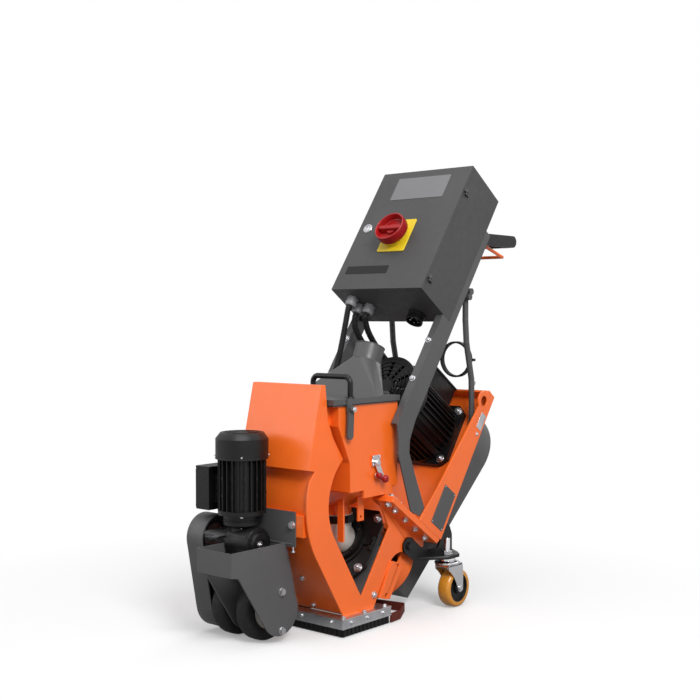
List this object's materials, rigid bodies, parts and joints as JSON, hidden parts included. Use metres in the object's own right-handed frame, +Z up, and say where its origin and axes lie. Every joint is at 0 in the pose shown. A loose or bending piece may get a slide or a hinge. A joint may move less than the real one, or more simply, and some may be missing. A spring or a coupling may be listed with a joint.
{
  "type": "walk-behind floor shot-blasting machine",
  "caption": "Walk-behind machine that blasts steel shot at a floor through a sealed base, with hopper, leaning motor arm, control box, driven front wheel unit and rear casters.",
  "frame": {"origin": "on the floor, under the middle of the blast opening in the base", "axes": "+Z up, along the greatest extent; +X to the machine's right, across its width; -Y towards its front, the driven unit; +Y towards the handlebar"},
  "size_m": [0.362, 1.013, 1.1598],
  "materials": {
    "amber": "gloss",
    "black_paint": "satin",
    "black_plastic": "satin",
    "box_grey": "satin",
    "cast": "rough",
    "charcoal": "satin",
    "chrome": "polished",
    "grey_paint": "satin",
    "orange": "gloss",
    "red_plastic": "gloss",
    "red_rubber": "matt",
    "rubber": "matt",
    "silver": "satin",
    "steel": "satin",
    "tyre": "matt",
    "white_plastic": "satin",
    "yellow": "satin"
  },
  "bodies": {
    "chassis": {"base_frame": "silver", "floor_seal": "rubber", "rear_skirt": "red_rubber", "side_plate_right": "orange", "side_plate_left": "orange", "rebound_duct": "orange", "duct_cover": "orange", "hopper": "orange", "hopper_funnel": "orange", "feed_spout": "white_plastic", "wheel_housing": "charcoal", "wheel_cover": "black_paint", "bearing_bracket": "orange", "bearing_unit": "cast", "arm": "orange", "arm_gusset_right": "orange", "arm_gusset_left": "orange", "motor_body": "cast", "motor_cowl": "black_paint", "motor_terminal_box": "cast", "belt_guard": "grey_paint", "drive_belt": "rubber", "frame_bar_right": "charcoal", "frame_bar_left": "charcoal", "support_struts": "charcoal", "handlebar": "black_paint", "control_box": "box_grey", "box_internals": "steel", "cable_glands": "black_plastic", "cable_drive": "rubber", "cables_motor": "rubber", "power_inlet": "black_plastic", "hose_ring": "rubber", "fasteners": "steel"},
    "blast_wheel_body": {"blast_wheel": "steel"},
    "motor_rotor_body": {"motor_rotor": "steel"},
    "door_body": {"door": "box_grey", "door_plates": "yellow"},
    "switch": {"switch_knob": "red_plastic"},
    "lock": {"door_lock": "steel"},
    "lid_body": {"lid": "charcoal", "lid_handle": "black_paint", "dust_spigot": "charcoal"},
    "latch": {"lid_latch": "charcoal"},
    "valve": {"valve_lever": "chrome"},
    "bail_body": {"bail": "orange"},
    "front_unit": {"front_fork": "grey_paint", "front_bearings": "steel", "chain_guard": "grey_paint", "drive_motor": "cast", "gearbox": "cast", "drive_terminal_box": "cast", "drive_chain": "steel"},
    "drive_rotor_body": {"drive_rotor": "steel"},
    "output": {"output_sprocket": "steel"},
    "axle": {"front_axle": "steel", "front_tyres": "tyre"},
    "carrier_right": {"caster_carrier_right": "black_paint"},
    "carrier_left": {"caster_carrier_left": "black_paint"},
    "swivel_right": {"caster_fork_right": "chrome"},
    "swivel_left": {"caster_fork_left": "chrome"},
    "roller_right": {"caster_wheel_right": "amber"},
    "roller_left": {"caster_wheel_left": "amber"}
  },
  "joints": [
    {"name": "motor_spin", "type": "hinge", "parent": "chassis", "child": "motor_rotor_body", "pos_m": [0, 0.43801, 0.42581], "axis": [0, -0.8192, 0.5736], "continuous": true},
    {"name": "wheel_spin", "type": "hinge", "parent": "chassis", "child": "blast_wheel_body", "pos_m": [0, 0.20686, 0.09569], "axis": [0, -0.8192, 0.5736], "continuous": true},
    {"name": "door_hinge", "type": "hinge", "parent": "chassis", "child": "door_body", "pos_m": [0.1548, 0.31357, 0.98905], "axis": [0, 0.5736, 0.8192], "range_deg": [0, 110]},
    {"name": "switch_turn", "type": "hinge", "parent": "door_body", "child": "switch", "pos_m": [-0.004, 0.28825, 0.97381], "axis": [0, -0.8192, 0.5736], "range_deg": [0, 90]},
    {"name": "lock_turn", "type": "hinge", "parent": "door_body", "child": "lock", "pos_m": [-0.119, 0.30603, 0.99921], "axis": [0, -0.8192, 0.5736], "range_deg": [0, 90]},
    {"name": "lid_hinge", "type": "hinge", "parent": "chassis", "child": "lid_body", "pos_m": [0, 0.132, 0.566], "axis": [-1, 0, 0], "range_deg": [0, 30]},
    {"name": "latch_turn", "type": "hinge", "parent": "lid_body", "child": "latch", "pos_m": [0.136, -0.067, 0.541], "axis": [-1, 0, 0], "range_deg": [0, 90]},
    {"name": "valve_turn", "type": "hinge", "parent": "chassis", "child": "valve", "pos_m": [0.128, 0.036, 0.405], "axis": [1, 0, 0], "range_deg": [0, 60]},
    {"name": "bail_hinge", "type": "hinge", "parent": "chassis", "child": "bail_body", "pos_m": [0, 0.498, 0.955], "axis": [1, 0, 0], "range_deg": [0, 11], "stiffness_Nm_per_rad": 4, "springref_deg": -8.59},
    {"name": "front_height", "type": "slide", "parent": "chassis", "child": "front_unit", "axis": [0, 0, 1], "range_m": [-0.012, 0]},
    {"name": "axle_spin", "type": "hinge", "parent": "front_unit", "child": "axle", "pos_m": [0, -0.212, 0.075], "axis": [1, 0, 0], "continuous": true},
    {"name": "output_spin", "type": "hinge", "parent": "front_unit", "child": "output", "pos_m": [0, -0.252, 0.233], "axis": [1, 0, 0], "continuous": true},
    {"name": "drive_motor_spin", "type": "hinge", "parent": "front_unit", "child": "drive_rotor_body", "pos_m": [-0.041, -0.252, 0.3], "axis": [0, 0, 1], "continuous": true},
    {"name": "carrier_right_hinge", "type": "hinge", "parent": "chassis", "child": "carrier_right", "pos_m": [0.115, 0.184, 0.176], "axis": [1, 0, 0], "range_deg": [-8, 0]},
    {"name": "swivel_right_turn", "type": "hinge", "parent": "carrier_right", "child": "swivel_right", "pos_m": [0.148, 0.306, 0.12], "axis": [0, 0, 1], "continuous": true},
    {"name": "roller_right_spin", "type": "hinge", "parent": "swivel_right", "child": "roller_right", "pos_m": [0.148, 0.336, 0.05], "axis": [1, 0, 0], "continuous": true},
    {"name": "carrier_left_hinge", "type": "hinge", "parent": "chassis", "child": "carrier_left", "pos_m": [-0.115, 0.184, 0.176], "axis": [1, 0, 0], "range_deg": [-8, 0]},
    {"name": "swivel_left_turn", "type": "hinge", "parent": "carrier_left", "child": "swivel_left", "pos_m": [-0.148, 0.306, 0.12], "axis": [0, 0, 1], "continuous": true},
    {"name": "roller_left_spin", "type": "hinge", "parent": "swivel_left", "child": "roller_left", "pos_m": [-0.148, 0.336, 0.05], "axis": [1, 0, 0], "continuous": true}
  ],
  "couplings": [
    {"joint": "wheel_spin", "follows": "motor_spin", "ratio": 3.3},
    {"joint": "output_spin", "follows": "axle_spin", "ratio": 1.3333},
    {"joint": "drive_motor_spin", "follows": "axle_spin", "ratio": 40}
  ]
}
